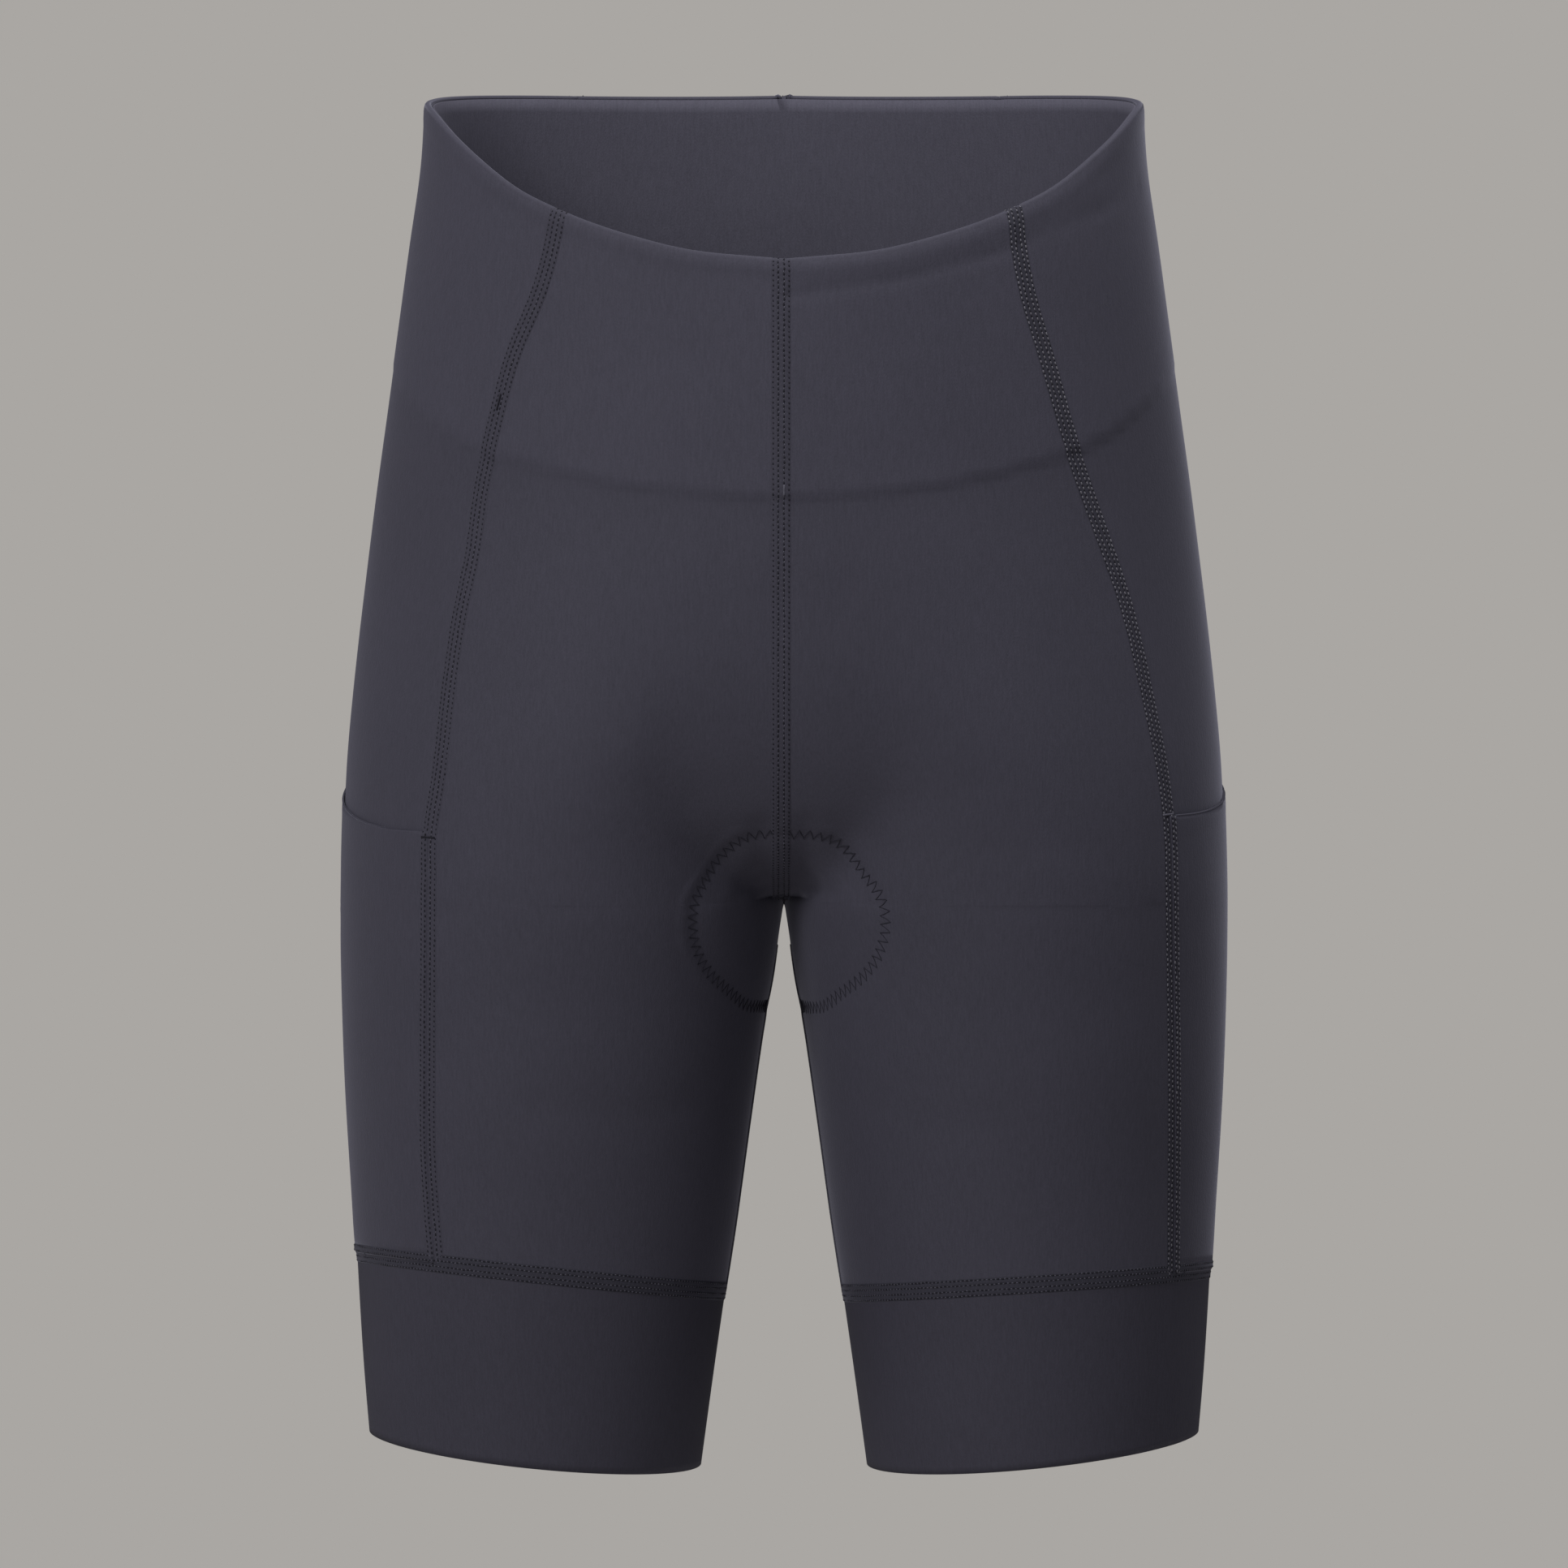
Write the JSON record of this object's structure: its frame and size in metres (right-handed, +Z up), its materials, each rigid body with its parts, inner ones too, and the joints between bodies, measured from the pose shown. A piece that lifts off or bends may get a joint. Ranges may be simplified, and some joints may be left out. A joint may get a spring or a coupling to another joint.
{
  "type": "cycling shorts",
  "caption": "Close-fitting cycling shorts filled out as when worn, hollow, with a folded high waist, side pockets, deep leg bands and a saddle pad inside.",
  "frame": {"origin": "middle of the waist opening, level with the rim at the sides, where the wearer's waist holds the shorts", "axes": "+Z up from the legs to the waist, the front faces -Y, +X towards the wearer's left"},
  "size_m": [0.3507, 0.2364, 0.548],
  "materials": {
    "slate_jersey": "matte dark slate stretch jersey with a fine vertical knit",
    "band_jersey": "matte dark slate jersey, a little smoother",
    "facing_jersey": "matte dark slate jersey, inner side",
    "pad_fleece": "dark brushed fleece over foam"
  },
  "bodies": {
    "root": {"front_left": "slate_jersey", "front_right": "slate_jersey", "side_left": "slate_jersey", "side_right": "slate_jersey", "back_left": "slate_jersey", "back_right": "slate_jersey", "pocket_left": "slate_jersey", "pocket_right": "slate_jersey", "leg_band_left": "band_jersey", "leg_band_right": "band_jersey", "waist_facing": "facing_jersey", "chamois_pad": "pad_fleece"}
  },
  "joints": []
}
